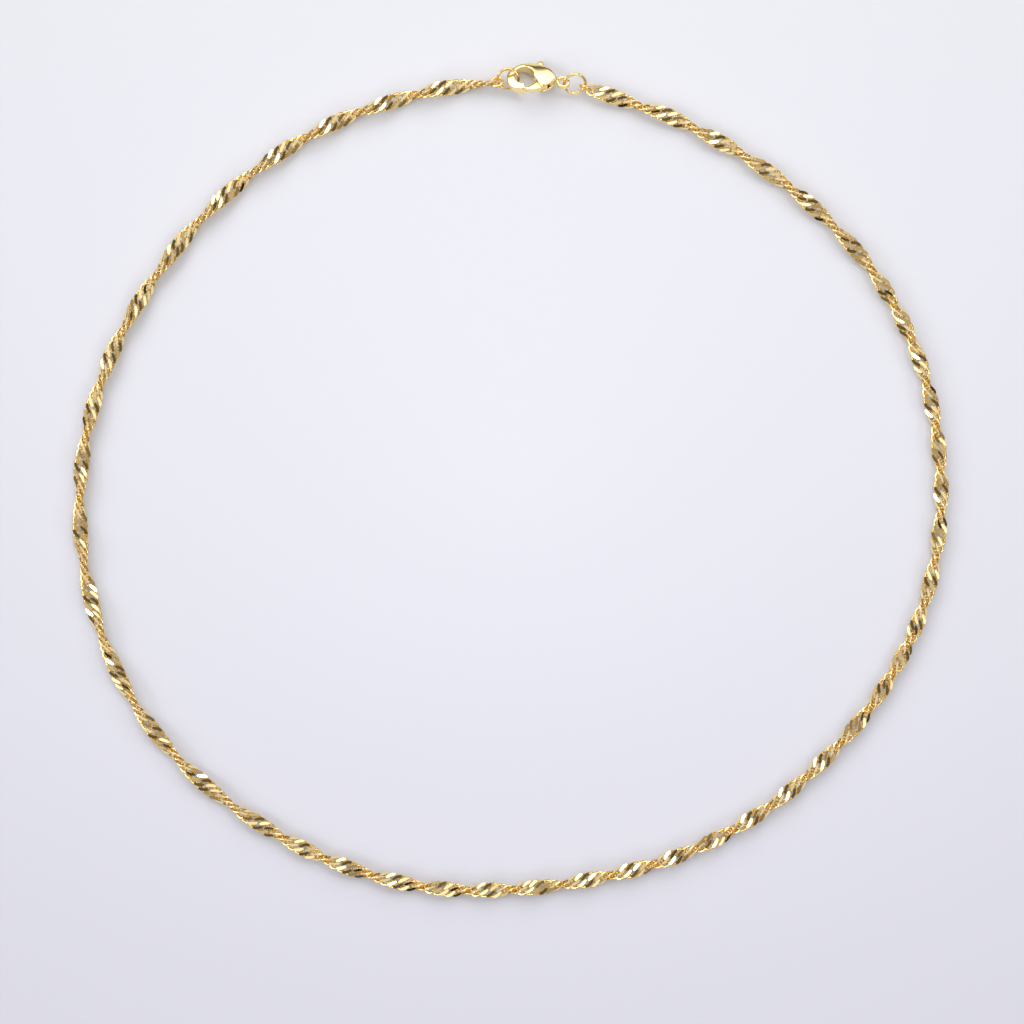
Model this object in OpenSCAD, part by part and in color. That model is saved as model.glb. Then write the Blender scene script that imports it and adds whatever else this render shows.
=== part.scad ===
// Necklace of twisted ribbon chain with a claw clasp, lying flat in an open loop.
// Millimetres. The loop lies on z = 0, with the clasp at the far side, towards +Y.

/* [Chain] */
// Width of the ribbon of links, seen flat
chain_w = 2.7; // [2.2:0.1:3.2]
// Thickness of the ribbon of links, seen edge on
chain_t = 1.5; // [1.1:0.1:1.9]

/* [End links] */
// Outer length of the round link at each end of the chain
end_link_d = 2.4; // [2.2:0.1:3]
// Wire of the end links
link_wire = 0.5; // [0.4:0.05:0.6]

/* [Jump rings] */
// Outer diameter of the jump rings
ring_d = 4.2; // [4:0.1:4.6]
// Wire of the jump rings
ring_wire = 0.5; // [0.4:0.05:0.6]
// How far the hook's jump ring leans, far side up
left_lean = 35; // [33:1:37]
// How far the tail loop's jump ring leans, far side up
right_lean = 38; // [36:1:40]

/* [Clasp body] */
// Outer radius of the hook
hook_r = 2.45; // [2.3:0.05:2.8]
// Radius of the round opening inside the hook
eye_r = 1.7; // [1.6:0.05:1.75]
// Radius of the clasp's back
back_r = 5.1; // [4.8:0.1:5.4]
// Radius of the clasp's belly
belly_r = 7.2; // [6.8:0.1:7.8]
// Greatest thickness of the clasp body
body_t = 2.4; // [2.3:0.1:2.8]
// How far the clasp leans, gate side up
clasp_lean = 26; // [22:1:28]

/* [Clasp tail loop] */
// Outer diameter of the loop on the tail
loop_d = 2.3; // [2.1:0.1:2.6]
// Wall of the loop
loop_wall = 0.36; // [0.3:0.02:0.4]
// Height of the loop along its hole
loop_h = 1.1; // [0.8:0.1:1.2]

/* [Clasp lever] */
// Thickness of the lever
lever_t = 1.05; // [0.8:0.05:1.05]
// Radius of the lever's hub
hub_r = 0.95; // [0.8:0.05:1]
// Width of the arm that carries the thumb nub
arm_w = 0.9; // [0.7:0.1:1]
// Radius of the thumb nub
nub_r = 0.55; // [0.45:0.05:0.6]
// How far the lever swings open
lever_swing = 30; // [20:1:30]
// Radius of the rivet
rivet_r = 0.35; // [0.25:0.05:0.4]

/* [Hidden] */
gold = "gold";
$fn = 64;

// Clearances between pieces
side_gap = 0.1;
rivet_gap = 0.03;
link_gap = 0.12;

// Route of the chain's centre line, anticlockwise from the hook's end:
// [x, y, half turns of the ribbon so far]
route = [
    [-8.5, 68.6, 0.7], [-14.6, 67.6, 1.3], [-28.5, 63.2, 2.7], [-41.3, 56.2, 4.1], [-52.7, 46.8, 5.3],
    [-62.1, 35.3, 6.5], [-69.6, 22.0, 7.9], [-74.2, 7.3, 9.5], [-75.2, -8.4, 10.9],
    [-72.5, -24.0, 12.2], [-66.1, -38.6, 13.4], [-56.1, -50.9, 14.7], [-43.6, -60.4, 16.0],
    [-29.9, -67.3, 17.8], [-15.1, -71.2, 19.5], [-0.1, -71.7, 21.4], [14.6, -69.8, 23.1],
    [29.0, -65.9, 25.0], [42.4, -59.1, 27.0], [54.3, -49.5, 28.9], [64.3, -37.7, 30.8],
    [71.5, -23.8, 33.2], [74.9, -8.4, 35.1], [74.5, 7.3, 37.2], [70.7, 22.5, 39.2], [63.3, 36.1, 41.4],
    [53.0, 47.3, 42.9], [41.1, 56.2, 44.4], [28.2, 63.1, 45.9], [22.2, 65.2, 46.5],
    [18.3, 66.6, 46.9]];
// Half turns of the ribbon where it meets the two end links
first_turn = 0.2;
last_turn = 47.2;
rings_per_span = 10;

// Section of the ribbon: [share of the width, share of the thickness]
section = [[0.5, 0.2], [0.3, 0.5], [-0.3, 0.5], [-0.5, 0.2],
           [-0.5, -0.2], [-0.3, -0.5], [0.3, -0.5], [0.5, -0.2]];

// The ribbon stands on its edges wherever it is turned edge on
chain_z = norm([section[0][0] * chain_w, section[0][1] * chain_t]);

// Outline of the clasp, in its own frame: the back and the belly are big arcs that leave the hook's circle
// almost tangent to it, sunk a hair into it
back_touch = 127;
belly_touch = -105;
touch_lap = 0.03;
function polar(r, a) = [r * cos(a), r * sin(a)];
back_c = polar(hook_r - touch_lap - back_r, back_touch);
belly_c = polar(hook_r - touch_lap - belly_r, belly_touch);
eye_c = [0.6, 0.35];

// The two arcs cross at the tail
arc_gap = norm(belly_c - back_c);
arc_turn = atan2(belly_c[1] - back_c[1], belly_c[0] - back_c[0]);
arc_open = acos((arc_gap * arc_gap + back_r * back_r - belly_r * belly_r) / (2 * arc_gap * back_r));
tail = back_c + polar(back_r, arc_turn - arc_open);
loop_sink = 0.1;
loop_drop = 0.35;
loop_c = tail + [loop_d / 2 - loop_sink, -loop_drop];
loop_hole_r = loop_d / 2 - loop_wall;

// Dome of the cheeks
dome_c = [3.2, 0.1];
dome_long_r = 20;
dome_fn = 200;
dome_cross_r = 8.5;

// Lever: pivot, end of its gate, and the straight front edge of the cheeks
pivot_inset = 1.45;
pivot = [hook_r + pivot_inset, -0.9];
gate_tip_x = 0.63;
gate_tip_y = -1.95;
gate_flat_x = 1;
gate_reach = pivot[0] - gate_tip_x;
gate_shoulder = pivot + [-hub_r - 0.45, -0.05];
gate_heel = pivot + [-0.3, -12];
edge_top = [2.12, 0.57];
edge_foot = [3.9, -2.7];
nub_at = [hook_r + 1.05, hook_r + 0.85];

// Slot between the cheeks, with room for the hub and for the lever's swing
slot_t = lever_t + 2 * side_gap;
hub_room = 4 * side_gap;
slot_top = 146;
slot_foot = 250;
rivet_sink = 0.3;
far = 12;

// The clasp's own frame: x towards the tail, y towards the back, z through the cheeks,
// with its origin at the hook's centre, so high that the nub just clears the surface
clasp_x = 1.7;
clasp_y = 69.7;
floor_gap = 0.05;
clasp_at = [clasp_x, clasp_y, nub_at[1] * sin(clasp_lean) + nub_r + floor_gap];

// Jump rings: the right one passes through the tail loop, the left one through the hook
ring_r = (ring_d - ring_wire) / 2;
left_seat = [0.79, 0.07, -0.12];
right_seat = [0.15, -0.11, -0.16];
right_pitch = 6;
ring_left_at = clasp_at + left_seat + [eye_c[0] - eye_r - ring_r, 0, 0];
ring_right_at = clasp_at + right_seat + [loop_c[0] + ring_r, loop_c[1] * cos(clasp_lean),
                                         -loop_c[1] * sin(clasp_lean)];

// End links stand on edge, each round the wire of its jump ring
link_r = (end_link_d - link_wire) / 2;
link_left_turn = 197;
link_right_turn = -22;
link_offset = 0.2;

// A point on a leaning jump ring's wire, and the end link hung on it
function wire_at(ring, lean, pitch, turn) =
    let (x = ring_r * cos(turn), y = ring_r * sin(turn) * cos(lean), z = ring_r * sin(turn) * sin(lean))
    ring + [x * cos(pitch) + z * sin(pitch), y, z * cos(pitch) - x * sin(pitch)];
function beyond(p, d, turn) = [p[0] + d * cos(turn), p[1] + d * sin(turn), p[2]];
link_left_at = beyond(wire_at(ring_left_at, left_lean, 0, link_left_turn), link_offset, link_left_turn);
link_right_at = beyond(wire_at(ring_right_at, right_lean, right_pitch, link_right_turn), link_offset,
                       link_right_turn);

// Smooth path through the route, from end link to end link
left_start = beyond(link_left_at, end_link_d / 2 + link_gap, link_left_turn);
right_end = beyond(link_right_at, end_link_d / 2 + link_gap, link_right_turn);
way = concat([[left_start[0], left_start[1], first_turn]], route, [[right_end[0], right_end[1], last_turn]]);
last = len(way) - 1;

function clip(i) = min(max(i, 0), last);
function blend(a, b, c, d, u) =
    0.5 * (2 * b + (c - a) * u + (2 * a - 5 * b + 4 * c - d) * u * u + (3 * b - a - 3 * c + d) * u * u * u);
function way_at(i, u) = blend(way[clip(i - 1)], way[clip(i)], way[clip(i + 1)], way[clip(i + 2)], u);
steps = [for (i = [0 : last - 1], k = [0 : rings_per_span - 1]) way_at(i, k / rings_per_span)];
path = concat(steps, [way[last]]);
path_end = len(path) - 1;

function heading(i) =
    let (d = path[min(i + 1, path_end)] - path[max(i - 1, 0)]) atan2(d[1], d[0]);
function ring_point(i, s) =
    let (p = path[i], a = heading(i), turn = 180 * p[2],
         u = s[0] * chain_w, v = s[1] * chain_t,
         side = u * cos(turn) - v * sin(turn),
         up = u * sin(turn) + v * cos(turn))
    [p[0] - side * sin(a), p[1] + side * cos(a), chain_z + up];

module chain() {
    n = len(section);
    points = [for (i = [0 : path_end], s = section) ring_point(i, s)];
    walls = [for (i = [0 : path_end - 1], k = [0 : n - 1], half = [0, 1])
        let (a = i * n + k, b = i * n + (k + 1) % n)
        half == 0 ? [a, a + n, b] : [b, a + n, b + n]];
    start = [[for (k = [0 : n - 1]) k]];
    finish = [[for (k = [n - 1 : -1 : 0]) path_end * n + k]];
    color(gold) polyhedron(points, concat(walls, start, finish), convexity = 20);
}

module round_ring(r, wire) {
    rotate_extrude() translate([r, 0]) circle(wire / 2);
}

module end_link(at, turn) {
    color(gold) translate(at) rotate([90, 0, turn]) round_ring(link_r, link_wire);
}

module jump_ring(at, lean, pitch) {
    color(gold) translate(at) rotate([lean, pitch, 0]) round_ring(ring_r, ring_wire);
}

module in_clasp() {
    translate(clasp_at) rotate([-clasp_lean, 0, 0]) children();
}

// Everything to the right of the line from a to b
module right_of(a, b) {
    polygon([a, a + [far, far], b + [far, -far], b]);
}

module outline() {
    intersection() {
        translate(back_c) circle(back_r);
        translate(belly_c) circle(belly_r);
        right_of(polar(hook_r, back_touch), polar(hook_r, belly_touch));
    }
    circle(hook_r);
}

// The mouth lies between the hook's tip and the cheeks' front edge
module mouth() {
    intersection() {
        translate(pivot) circle(gate_reach + side_gap);
        polygon([eye_c, edge_top, edge_foot, [0, edge_foot[1]]]);
    }
}

module cheek_ball(z) {
    translate([dome_c[0], dome_c[1], z]) sphere(dome_long_r, $fn = dome_fn);
}

module cheek_roll(z) {
    translate([dome_c[0], dome_c[1], z]) rotate([0, 90, 0])
        cylinder(h = 2 * far, r = dome_cross_r, center = true, $fn = dome_fn);
}

module dome() {
    half = body_t / 2;
    intersection() {
        cheek_ball(half - dome_long_r);
        cheek_ball(dome_long_r - half);
        cheek_roll(half - dome_cross_r);
        cheek_roll(dome_cross_r - half);
    }
}

module swing_bar(turn) {
    translate(pivot) rotate(turn) translate([0, -arm_w / 2 - side_gap]) square([far, arm_w + 2 * side_gap]);
}

module slot() {
    nub_turn = atan2(nub_at[1] - pivot[1], nub_at[0] - pivot[0]);
    translate(pivot) circle(hub_r + hub_room);
    swing_bar(nub_turn);
    swing_bar(nub_turn - lever_swing);
    translate(pivot) polygon([[0, 0], polar(far, nub_turn), polar(far, nub_turn - lever_swing)]);
    intersection() {
        translate(pivot) circle(gate_reach + side_gap);
        translate(pivot) polygon([[0, 0], polar(far, slot_top), polar(far, 180), polar(far, slot_foot)]);
    }
}

module clasp_body() {
    color(gold) in_clasp() {
        difference() {
            intersection() {
                linear_extrude(2 * body_t, center = true) difference() {
                    outline();
                    translate(eye_c) circle(eye_r);
                    mouth();
                }
                dome();
            }
            linear_extrude(slot_t, center = true) slot();
            translate(pivot) cylinder(h = slot_t + 2 * rivet_sink, r = rivet_r + rivet_gap, center = true);
        }
        translate(loop_c) difference() {
            cylinder(h = loop_h, r = loop_d / 2, center = true);
            cylinder(h = 2 * loop_h, r = loop_hole_r, center = true);
        }
    }
}

module clasp_lever() {
    color(gold) in_clasp() {
        difference() {
            linear_extrude(lever_t, center = true) {
                translate(pivot) circle(hub_r);
                intersection() {
                    translate(belly_c) circle(belly_r - side_gap / 2);
                    translate(pivot) circle(gate_reach);
                    polygon([[0, gate_tip_y], [gate_flat_x, gate_tip_y], gate_shoulder, pivot + [0, hub_r],
                             pivot, gate_heel, [0, gate_heel[1]]]);
                }
                bar(pivot, nub_at, arm_w);
            }
            translate(pivot) cylinder(h = 2 * lever_t, r = rivet_r + rivet_gap, center = true);
        }
        translate(nub_at) sphere(nub_r, $fn = 48);
    }
}

// Straight bar between two points
module bar(a, b, w) {
    d = b - a;
    translate(a) rotate(atan2(d[1], d[0])) translate([0, -w / 2]) square([norm(d), w]);
}

module clasp_rivet() {
    color(gold) in_clasp() translate(pivot)
        cylinder(h = slot_t + 2 * rivet_sink - 2 * rivet_gap, r = rivet_r, center = true);
}

chain();
end_link(link_left_at, link_left_turn);  // end_link_left
end_link(link_right_at, link_right_turn);  // end_link_right
jump_ring(ring_left_at, left_lean, 0);  // jump_ring_left
jump_ring(ring_right_at, right_lean, right_pitch);  // jump_ring_right
clasp_body();
clasp_lever();
clasp_rivet();
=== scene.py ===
import math
import random

import bpy
from mathutils import Matrix, Vector


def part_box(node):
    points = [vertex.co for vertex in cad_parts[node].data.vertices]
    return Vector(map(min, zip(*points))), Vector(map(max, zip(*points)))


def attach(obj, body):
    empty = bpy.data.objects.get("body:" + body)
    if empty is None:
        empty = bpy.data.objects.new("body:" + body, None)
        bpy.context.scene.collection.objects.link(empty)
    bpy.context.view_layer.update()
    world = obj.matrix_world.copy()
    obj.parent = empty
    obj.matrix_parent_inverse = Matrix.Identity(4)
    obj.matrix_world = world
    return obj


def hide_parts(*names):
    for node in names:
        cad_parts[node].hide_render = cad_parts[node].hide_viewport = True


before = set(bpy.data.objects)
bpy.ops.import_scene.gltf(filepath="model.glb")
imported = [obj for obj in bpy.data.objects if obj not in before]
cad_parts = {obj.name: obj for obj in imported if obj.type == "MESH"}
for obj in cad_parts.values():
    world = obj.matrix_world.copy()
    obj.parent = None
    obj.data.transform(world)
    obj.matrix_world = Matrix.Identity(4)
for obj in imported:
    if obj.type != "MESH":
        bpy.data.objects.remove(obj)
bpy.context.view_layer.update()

MM = 0.001

# The chain's route as in the part's source: x mm, y mm, half turns of the ribbon so far
ROUTE = [
    (-8.5, 68.6, 0.7), (-14.6, 67.6, 1.3), (-28.5, 63.2, 2.7), (-41.3, 56.2, 4.1),
    (-52.7, 46.8, 5.3), (-62.1, 35.3, 6.5), (-69.6, 22.0, 7.9), (-74.2, 7.3, 9.5),
    (-75.2, -8.4, 10.9), (-72.5, -24.0, 12.2), (-66.1, -38.6, 13.4), (-56.1, -50.9, 14.7),
    (-43.6, -60.4, 16.0), (-29.9, -67.3, 17.8), (-15.1, -71.2, 19.5), (-0.1, -71.7, 21.4),
    (14.6, -69.8, 23.1), (29.0, -65.9, 25.0), (42.4, -59.1, 27.0), (54.3, -49.5, 28.9),
    (64.3, -37.7, 30.8), (71.5, -23.8, 33.2), (74.9, -8.4, 35.1), (74.5, 7.3, 37.2),
    (70.7, 22.5, 39.2), (63.3, 36.1, 41.4), (53.0, 47.3, 42.9), (41.1, 56.2, 44.4),
    (28.2, 63.1, 45.9), (22.2, 65.2, 46.5), (18.3, 66.6, 46.9)]
FIRST_TURN = 0.3
LAST_TURN = 47.35
STEPS_PER_SPAN = 24

# Ribbon and links, in millimetres
RIBBON_HEIGHT = 1.38
END_LINK_REACH = 1.78
LINK_PITCH = 1.15
LINK_WIRE = 0.52
LINK_HALF_LENGTH = 1.5
LINK_HALF_WIDTH = 1.13
LINK_TWIST = math.radians(98)
LINK_PLAY = 2  # degrees that a link may lie out of the ribbon's own turn
LINK_SEED = 7

# Shares of the wire's thickness on a link's raised quarters and at its two tips. The quarters are
# where x times y on the unit circle is over QUARTER_FROM
STROKE_SHARE = 1.22
TIP_SHARE = 0.8
QUARTER_FROM = 0.25

# Flats cut on the raised quarters of each link, in millimetres
FLAT_AT = 0.66
FLAT_HEIGHT = 0.65
FLAT_LEAN = math.radians(-12)

# Clasp, in millimetres: its place and lean, and the slot line that follows the curve of its belly
CLASP_AT = (1.7, 69.7, 2.047)
CLASP_LEAN = math.radians(-26)
BELLY_CENTRE = (1.24, 4.62)
BELLY_RADIUS = 7.2
SLOT_LINE = 0.3
SLOT_LINE_DEPTH = -0.35
SLOT_LINE_ENDS = (3.6, 6.1)

# Casting and polishing: voxels in millimetres, rounds of smoothing, and how squarely a surface
# faces front or back where the polishing of the faces starts
CAST_VOXEL = 0.06
CAST_WELD = 0.0005
BODY_SMOOTHING = 24
LEVER_SMOOTHING = 40
FACE_SMOOTHING = 160
LAST_SMOOTHING = 8
FACE_FROM = 0.6
FACE_FADE = 0.35

# Rings, in millimetres. Solder lies where the cosine of the angle from the joint is over SOLDER_FROM
RING_WIRE = 0.5
RING_RADIUS = 1.85
END_LINK_RADIUS = 0.95
RING_SEAM = 0.05
SAW_SLANT = math.radians(15)
SOLDER_SHARE = 1.12
SOLDER_FROM = 0.9
RING_CREASE = math.radians(50)

# Each ring: node, piece, radius, turns that lay it in its place as degrees and axis, degrees round
# to its joint, and whether the joint is soldered
RINGS = [
    ("jump_ring_left", "jump_ring_on_hook", RING_RADIUS, [(35, "X")], 60, False),
    ("jump_ring_right", "jump_ring_on_tail", RING_RADIUS, [(6, "Y"), (38, "X")], 130, False),
    ("end_link_left", "end_link_on_hook_side", END_LINK_RADIUS,
     [(197, "Z"), (-60, "X"), (90, "X")], 90, True),
    ("end_link_right", "end_link_on_tail_side", END_LINK_RADIUS,
     [(-22, "Z"), (90, "X")], 90, True)]

# Golds: name, lighter and deeper tone, and the range of roughness. The wire and its cut flats are
# one gold: the wire's tones are painted deeper, as painted shade on the wire's sides and between the
# flats, and the flats' tones are painted lighter, as a painted highlight. Each gold drifts at random
# between its own two tones
DRAWN_WIRE_PAINTED_DEEPER = ("drawn_gold_wire_painted_shade", (0.97, 0.73, 0.31, 1), (0.86, 0.60, 0.20, 1), (0.10, 0.2))
DIAMOND_CUT_PAINTED_LIGHTER = ("diamond_cut_gold_painted_highlight", (1.0, 0.86, 0.47, 1), (0.96, 0.77, 0.35, 1), (0.05, 0.12))
CAST_METAL = ("cast_gold", (1.0, 0.83, 0.43, 1), (0.95, 0.74, 0.32, 1), (0.12, 0.2))
TONE_SCALE = 900
GRAIN_SCALE = 2500
GRAIN_STRENGTH = 0.02
GRAIN_DEPTH = 0.00002

# Camera, in metres: straight down on the middle of the picture
CAMERA_AT = (0.00022, -0.00576, 0.4514)
CAMERA_LENS = 90.6
CAMERA_SENSOR = 36
CAMERA_NEAREST = 0.01

# Paper, in metres: its own lavender-white colour with painted light falloff, painted brighter at the
# far edge of the picture and painted dimmer away from its middle
PAPER_SIZE = 4
PAPER_EDGES = (-0.09, 0.09)
PAPER_NEAR = (0.745, 0.765, 0.855, 1)
PAPER_FAR = (0.865, 0.895, 0.955, 1)
PAPER_AWAY = (0, 0.127)
PAPER_PAINTED_FALLOFF = (0.96, 0.85)
PAPER_ROUGHNESS = 0.9

# Light tent: brightness by direction, where 1 is plain white cloth
UP = (0, 0, 1)
TENT_DARK = 0.045
TENT_OPENING = (0.88, 0.965)
TENT_HEM = (0.05, 0.6)
TENT_FOLDS = 2.6
TENT_FOLD_EDGE = (0.46, 0.55)
TENT_CLOTH = (0.25, 1.0)
TENT_BRIGHT_SIDE = (-0.35, 0.90, 0.25)
TENT_RANGE = (0.72, 2.5)
TENT_WHITE = (0.99, 0.97, 1.02, 1)
TENT_SHADE = (1.0, 0.82, 0.54, 1)
PANEL_TOWARDS = (-0.10, 0.79, 0.60)
PANEL_EDGE = (0.84, 0.95)
PANEL_GLOW = (0.06, 1.0)

# Soft lights: name, place and size in metres, power in watts
LAMPS = [
    ("window", (-0.45, 0.75, 0.65), 0.6, 1.5),
    ("left_box", (-0.85, -0.10, 0.60), 0.3, 1.1),
    ("right_box", (0.80, 0.30, 0.65), 0.3, 1.1),
    ("near_box", (0.25, -0.80, 0.70), 0.3, 0.9),
    ("top_box", (0.30, 0.45, 1.0), 0.3, 0.9)]


# Work on one piece at a time
def select_only(obj):
    if bpy.context.mode != "OBJECT":
        bpy.ops.object.mode_set(mode="OBJECT")
    bpy.ops.object.select_all(action="DESELECT")
    obj.select_set(True)
    bpy.context.view_layer.objects.active = obj


def edit(obj):
    select_only(obj)
    bpy.ops.object.mode_set(mode="EDIT")
    bpy.ops.mesh.select_all(action="SELECT")


def apply_modifier(obj, kind, **settings):
    select_only(obj)
    mod = obj.modifiers.new(kind.lower(), kind)
    for key, value in settings.items():
        setattr(mod, key, value)
    bpy.ops.object.modifier_apply(modifier=mod.name)


def finish_piece(obj, name, node, material, body="necklace"):
    """Names a finished mesh, which stands for the node, and puts it on its body."""
    obj.name = name
    obj.data.name = name
    obj.data.materials.clear()
    obj.data.materials.append(material)
    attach(obj, body)
    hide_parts(node)


# Nodes of materials and of the light tent
def feed(tree, node, inputs):
    """Gives each input its number or colour, or joins another node's output to it."""
    for key, value in inputs.items():
        if isinstance(value, bpy.types.NodeSocket):
            tree.links.new(value, node.inputs[key])
        else:
            node.inputs[key].default_value = value


def add_node(tree, kind, inputs, **settings):
    node = tree.nodes.new("ShaderNode" + kind)
    for key, value in settings.items():
        setattr(node, key, value)
    feed(tree, node, inputs)
    return node


def spread(tree, value, given, wanted, step="LINEAR"):
    """Maps a value from one range to another."""
    ends = {"From Min": given[0], "From Max": given[1], "To Min": wanted[0], "To Max": wanted[1]}
    node = add_node(tree, "MapRange", {"Value": value, **ends}, interpolation_type=step)
    return node.outputs["Result"]


def mixed(tree, share, first, second):
    return add_node(tree, "Mix", {0: share, 6: first, 7: second}, data_type="RGBA").outputs[2]


def noise(tree, place, scale, **more):
    return add_node(tree, "TexNoise", {"Vector": place, "Scale": scale, **more}).outputs["Fac"]


def new_material(name):
    mat = bpy.data.materials.new(name)
    mat.use_nodes = True
    return mat, mat.node_tree, mat.node_tree.nodes["Principled BSDF"]


def gold(name, light, deep, roughness):
    """Gold with a slight drift of tone and polish, and a very fine grain."""
    mat, tree, shader = new_material(name)
    place = add_node(tree, "TexCoord", {}).outputs["Object"]
    tone = noise(tree, place, TONE_SCALE)
    relief = add_node(tree, "Bump", {"Height": noise(tree, place, GRAIN_SCALE),
                                     "Strength": GRAIN_STRENGTH, "Distance": GRAIN_DEPTH})
    feed(tree, shader, {
        "Metallic": 1.0,
        "Base Color": mixed(tree, tone, light, deep),
        "Roughness": spread(tree, tone, (0, 1), roughness),
        "Normal": relief.outputs["Normal"]})
    return mat


# The chain's path
def blend(a, b, c, d, u):
    """A point between b and c, on the smooth curve through all four."""
    return tuple(
        0.5 * (2 * q + (r - p) * u + (2 * p - 5 * q + 4 * r - s) * u * u
               + (3 * q - p - 3 * r + s) * u ** 3)
        for p, q, r, s in zip(a, b, c, d))


def chain_path(start, finish):
    way = [(*start, FIRST_TURN), *ROUTE, (*finish, LAST_TURN)]
    last = len(way) - 1
    path = []
    for i in range(last):
        four = [way[min(max(k, 0), last)] for k in range(i - 1, i + 3)]
        path += [blend(*four, step / STEPS_PER_SPAN) for step in range(STEPS_PER_SPAN)]
    return path + [way[last]]


def even_steps(path, pitch, reach):
    """Places spaced evenly along the path, at about the pitch, from reach past its start to reach
    short of its end: (x, y, heading, half turns)."""
    far = [0.0]
    for a, b in zip(path, path[1:]):
        far.append(far[-1] + math.dist(a[:2], b[:2]))
    span = far[-1] - 2 * reach
    count = round(span / pitch)
    found, i = [], 0
    for n in range(count + 1):
        want = reach + span * n / count
        while i < len(far) - 2 and far[i + 1] < want:
            i += 1
        u = (want - far[i]) / (far[i + 1] - far[i])
        x, y, turns = (a + (b - a) * u for a, b in zip(path[i], path[i + 1]))
        before, after = path[max(i - 1, 0)], path[min(i + 2, len(path) - 1)]
        found.append((x, y, math.atan2(after[1] - before[1], after[0] - before[0]), turns))
    return found


# Wire
def wire_loop(half_length, half_width, wire, thickness, smoothness, sides):
    """An oval loop of wire about the origin, in millimetres; thickness gives the share of the wire
    at each place of the unit circle."""
    bpy.ops.curve.primitive_bezier_circle_add(radius=1.0)
    loop = bpy.context.object
    bpy.ops.object.mode_set(mode="EDIT")
    bpy.ops.curve.select_all(action="SELECT")
    bpy.ops.curve.subdivide()
    bpy.ops.transform.resize(value=(half_length, half_width, 1.0))
    bpy.ops.object.mode_set(mode="OBJECT")
    for point in loop.data.splines[0].bezier_points:
        point.radius = thickness(point.co.x / half_length, point.co.y / half_width)
    loop.data.dimensions = "3D"
    loop.data.resolution_u = smoothness
    loop.data.bevel_depth = wire / 2
    loop.data.bevel_resolution = sides // 2 - 2
    bpy.ops.object.convert(target="MESH")
    return bpy.context.object


# One curb link: oval wire twisted about the chain's direction, thicker on its raised quarters,
# which are cut flat on both faces
def link_thickness(x, y):
    if abs(x * y) > QUARTER_FROM:
        return STROKE_SHARE
    return TIP_SHARE if abs(x) > abs(y) else 1.0


def cut_flat(link, side, face):
    """Cuts one flat on a raised quarter; side is the ribbon's edge, face its front or back."""
    edit(link)
    lean = side * math.tan(FLAT_LEAN)
    bpy.ops.mesh.bisect(plane_co=(0, side * FLAT_AT, face * FLAT_HEIGHT), plane_no=(0, lean, face),
                        use_fill=True, clear_outer=True)
    bpy.ops.mesh.region_to_loop()
    bpy.ops.mesh.mark_sharp()
    bpy.ops.object.mode_set(mode="OBJECT")


def curb_link():
    link = wire_loop(LINK_HALF_LENGTH, LINK_HALF_WIDTH, LINK_WIRE, link_thickness,
                     smoothness=2, sides=8)
    apply_modifier(link, "SIMPLE_DEFORM", deform_method="TWIST", deform_axis="X",
                   angle=-LINK_TWIST)
    for side in (1, -1):
        for face in (1, -1):
            cut_flat(link, side, face)
    select_only(link)
    bpy.ops.object.shade_smooth()
    return link


def middle(node):
    low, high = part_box(node)
    return (low + high) / 2


def chain_links(wire, cut_flats_painted_lighter):
    """The links from one end link to the other, each through the next two, as one piece."""
    link = curb_link()
    start = middle("end_link_left") / MM
    finish = middle("end_link_right") / MM
    path = chain_path(start[:2], finish[:2])
    draw = random.Random(LINK_SEED)
    copies = []
    for x, y, heading, turns in even_steps(path, LINK_PITCH, END_LINK_REACH):
        roll = math.pi * turns + math.radians(draw.uniform(-LINK_PLAY, LINK_PLAY))
        turn = Matrix.Rotation(heading, 4, "Z") @ Matrix.Rotation(roll, 4, "X")
        place = Matrix.Translation(Vector((x, y, RIBBON_HEIGHT)) * MM)
        copy = bpy.data.objects.new("link", link.data.copy())
        copy.data.transform(place @ turn @ Matrix.Scale(MM, 4))
        bpy.context.collection.objects.link(copy)
        copies.append(copy)
    bpy.data.objects.remove(link)
    chain = copies[0]
    select_only(chain)
    for copy in copies:
        copy.select_set(True)
    bpy.ops.object.join()
    finish_piece(chain, "chain_links", "chain", wire)
    chain.data.materials.append(cut_flats_painted_lighter)
    # Only the flats have more than four corners; they take the gold painted lighter, a painted
    # highlight, and the rest of the wire takes the gold painted deeper, painted shade
    for face in chain.data.polygons:
        face.material_index = 1 if len(face.vertices) > 4 else 0


# Rings: jump rings are sawn through at their joint, and end links have a drop of solder there
def saw_through(loop, radius, joint):
    bpy.ops.mesh.primitive_cube_add(size=1)
    saw = bpy.context.object
    blade = Matrix.Diagonal((2 * RING_WIRE, RING_SEAM, 2 * RING_WIRE, 1))
    saw.data.transform(Matrix.Rotation(joint, 4, "Z") @ Matrix.Translation((radius, 0, 0))
                       @ Matrix.Rotation(SAW_SLANT, 4, "X") @ blade)
    apply_modifier(loop, "BOOLEAN", operation="DIFFERENCE", object=saw, solver="EXACT")
    bpy.data.objects.remove(saw)


def ring(node, name, radius, turns, degrees_to_joint, soldered, material):
    joint = math.radians(degrees_to_joint)

    def thickness(x, y):
        at_joint = x * math.cos(joint) + y * math.sin(joint) > SOLDER_FROM
        return SOLDER_SHARE if soldered and at_joint else 1.0

    loop = wire_loop(radius, radius, RING_WIRE, thickness, smoothness=8, sides=12)
    if not soldered:
        saw_through(loop, radius, joint)
    select_only(loop)
    bpy.ops.object.shade_smooth_by_angle(angle=RING_CREASE)
    lay = Matrix.Translation(middle(node))
    for degrees, axis in turns:
        lay = lay @ Matrix.Rotation(math.radians(degrees), 4, axis)
    loop.data.transform(lay @ Matrix.Scale(MM, 4))
    finish_piece(loop, name, node, material)


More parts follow.
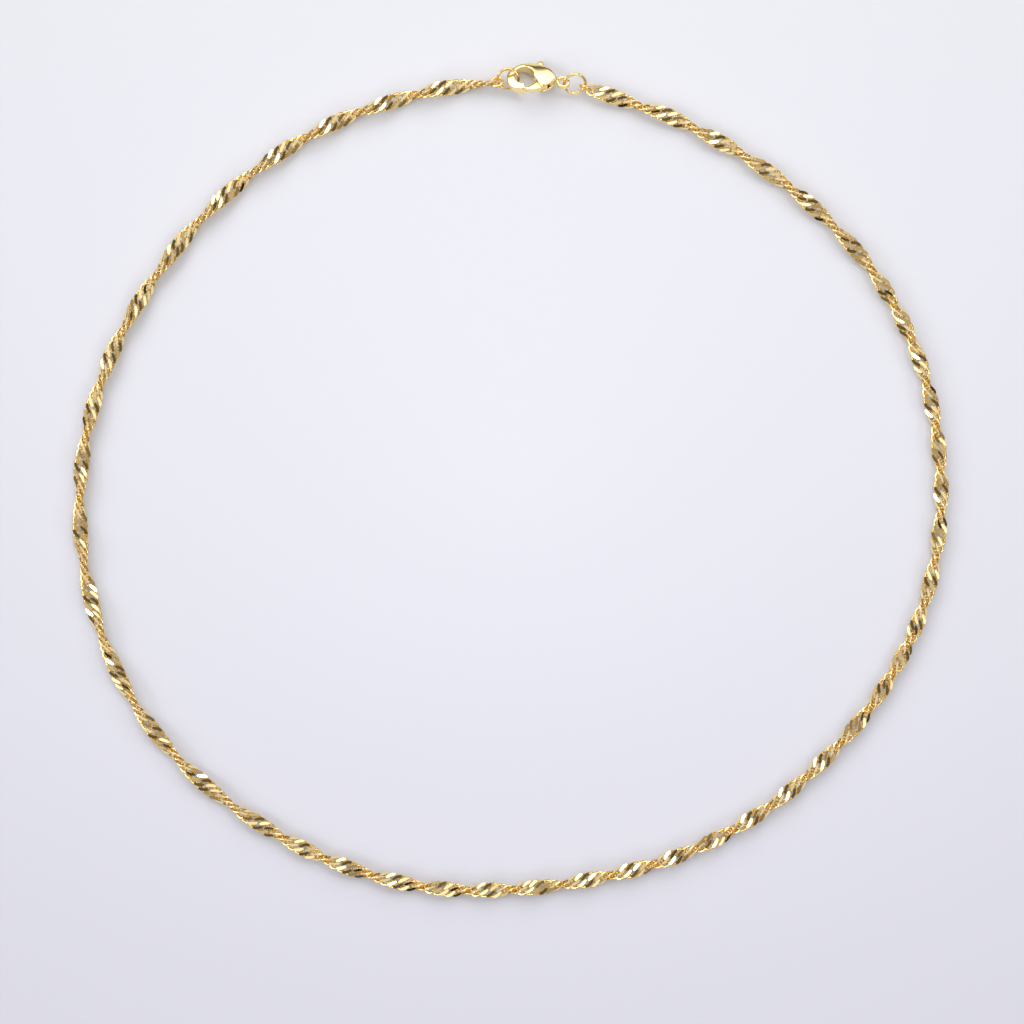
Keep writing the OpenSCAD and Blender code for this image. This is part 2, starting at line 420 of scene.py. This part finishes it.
# Clasp: its cast and polished parts, with every edge softened and the faces running smoothly over
def cut_slot_line(casting):
    """Opens the slot along the belly, between the two cheeks."""
    bpy.ops.mesh.primitive_torus_add(major_radius=BELLY_RADIUS, minor_radius=SLOT_LINE,
                                     major_segments=160, minor_segments=16)
    cutter = bpy.context.object
    first, last = (x - BELLY_CENTRE[0] for x in SLOT_LINE_ENDS)
    for place, facing in (((0, 0, 0), (0, 1, 0)), ((last, 0, 0), (1, 0, 0)),
                          ((first, 0, 0), (-1, 0, 0))):
        edit(cutter)
        bpy.ops.mesh.bisect(plane_co=place, plane_no=facing, use_fill=True, clear_outer=True)
        bpy.ops.object.mode_set(mode="OBJECT")
    cutter.data.transform(Matrix.Translation(CLASP_AT) @ Matrix.Rotation(CLASP_LEAN, 4, "X")
                          @ Matrix.Translation((*BELLY_CENTRE, SLOT_LINE_DEPTH)))
    apply_modifier(casting, "BOOLEAN", operation="DIFFERENCE", object=cutter, solver="EXACT")
    bpy.data.objects.remove(cutter)


def polish_faces(piece):
    """Smooths the front and back faces alone, fading out towards the rims."""
    through = Vector((0, -math.sin(CLASP_LEAN), math.cos(CLASP_LEAN)))
    faces = piece.vertex_groups.new(name="faces")
    for vertex in piece.data.vertices:
        squareness = abs(vertex.normal.dot(through))
        share = min(max((squareness - FACE_FROM) / FACE_FADE, 0), 1)
        faces.add([vertex.index], share, "REPLACE")
    apply_modifier(piece, "SMOOTH", factor=0.5, iterations=FACE_SMOOTHING, vertex_group="faces")
    piece.vertex_groups.clear()


def cast_piece(node, name, material, smoothing, body="necklace"):
    piece = bpy.data.objects.new(name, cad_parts[node].data.copy())
    bpy.context.collection.objects.link(piece)
    piece.data.transform(Matrix.Scale(1 / MM, 4))
    edit(piece)
    bpy.ops.mesh.remove_doubles(threshold=CAST_WELD)
    bpy.ops.object.mode_set(mode="OBJECT")
    if node == "clasp_body":
        cut_slot_line(piece)
    apply_modifier(piece, "REMESH", mode="VOXEL", voxel_size=CAST_VOXEL)
    apply_modifier(piece, "SMOOTH", factor=0.5, iterations=smoothing)
    polish_faces(piece)
    apply_modifier(piece, "SMOOTH", factor=0.5, iterations=LAST_SMOOTHING)
    bpy.ops.object.shade_smooth()
    piece.data.transform(Matrix.Scale(MM, 4))
    finish_piece(piece, name, node, material, body)


# Studio
def light_tent(world):
    """Bright cloth walls with darker folds, brightest behind the clasp, a bright panel there, and a
    dark opening overhead. What is dim is also warmer."""
    world.use_nodes = True
    tree = world.node_tree
    towards = add_node(tree, "TexCoord", {}).outputs["Generated"]

    def along(direction):
        node = add_node(tree, "VectorMath", {0: towards, 1: direction}, operation="DOT_PRODUCT")
        return node.outputs["Value"]

    def soft(value, given, wanted):
        return spread(tree, value, given, wanted, "SMOOTHSTEP")

    def both(first, second, operation="MULTIPLY"):
        node = add_node(tree, "Math", {0: first, 1: second}, operation=operation)
        return node.outputs["Value"]

    folds = noise(tree, towards, TENT_FOLDS, Detail=1.0)
    cloth = soft(folds, TENT_FOLD_EDGE, TENT_CLOTH)
    opening = soft(along(UP), TENT_OPENING, (1.0, TENT_DARK))
    panel = soft(along(PANEL_TOWARDS), PANEL_EDGE, PANEL_GLOW)
    bright_side = soft(along(TENT_BRIGHT_SIDE), (-1.0, 1.0), TENT_RANGE)
    hem = soft(along(UP), TENT_HEM, (TENT_DARK, 1.0))
    lit = both(both(opening, cloth), panel, "MAXIMUM")
    wall = both(both(lit, bright_side), hem)
    feed(tree, tree.nodes["Background"], {
        "Strength": wall, "Color": mixed(tree, wall, TENT_SHADE, TENT_WHITE)})


def paper():
    mat, tree, shader = new_material("paper")
    place = add_node(tree, "TexCoord", {}).outputs["Object"]
    split = add_node(tree, "SeparateXYZ", {0: place})
    # Painted light falloff: the paper's colour runs from the dimmer near edge to the brighter far
    # edge, and is dimmed away from the middle
    depth = spread(tree, split.outputs["Y"], PAPER_EDGES, (0, 1))
    away = add_node(tree, "VectorMath", {0: place}, operation="LENGTH").outputs["Value"]
    dimmed = add_node(tree, "VectorMath", {
        0: mixed(tree, depth, PAPER_NEAR, PAPER_FAR),
        "Scale": spread(tree, away, PAPER_AWAY, PAPER_PAINTED_FALLOFF)}, operation="SCALE")
    feed(tree, shader, {"Base Color": dimmed.outputs["Vector"], "Roughness": PAPER_ROUGHNESS})
    return mat


def place_camera(scene):
    camera = bpy.data.objects.new("camera", bpy.data.cameras.new("camera"))
    scene.collection.objects.link(camera)
    camera.location = CAMERA_AT
    camera.data.lens = CAMERA_LENS
    camera.data.sensor_width = CAMERA_SENSOR
    camera.data.clip_start = CAMERA_NEAREST
    scene.camera = camera


def soft_light(scene, name, place, size, power):
    """A round lamp that points at the middle of the floor."""
    lamp = bpy.data.lights.new(name, "AREA")
    lamp.shape = "DISK"
    lamp.size = size
    lamp.energy = power
    obj = bpy.data.objects.new(name, lamp)
    scene.collection.objects.link(obj)
    obj.location = place
    obj.rotation_mode = "QUATERNION"
    obj.rotation_quaternion = (-Vector(place)).to_track_quat("-Z", "Y")


def studio():
    scene = bpy.context.scene
    scene.view_settings.view_transform = "Standard"
    place_camera(scene)
    bpy.ops.mesh.primitive_plane_add(size=PAPER_SIZE)
    floor = bpy.context.object
    floor.name = "floor"
    floor.data.materials.append(paper())
    scene.world = bpy.data.worlds.new("light_tent")
    light_tent(scene.world)
    for lamp in LAMPS:
        soft_light(scene, *lamp)


# The wire gold is painted deeper, as painted shade, and the gold of the cut flats is painted
# lighter, as a painted highlight, though both are one metal
wire = gold(*DRAWN_WIRE_PAINTED_DEEPER)
cut_flats_painted_lighter = gold(*DIAMOND_CUT_PAINTED_LIGHTER)
cast = gold(*CAST_METAL)
chain_links(wire, cut_flats_painted_lighter)
cast_piece("clasp_body", "clasp_casting", cast, BODY_SMOOTHING)
cast_piece("clasp_lever", "clasp_gate", cast, LEVER_SMOOTHING, body="lever")
# The rings take the wire gold, painted deeper as painted shade
for row in RINGS:
    ring(*row, wire)
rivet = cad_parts["clasp_rivet"]
rivet.data.materials.clear()
rivet.data.materials.append(cast)
studio()
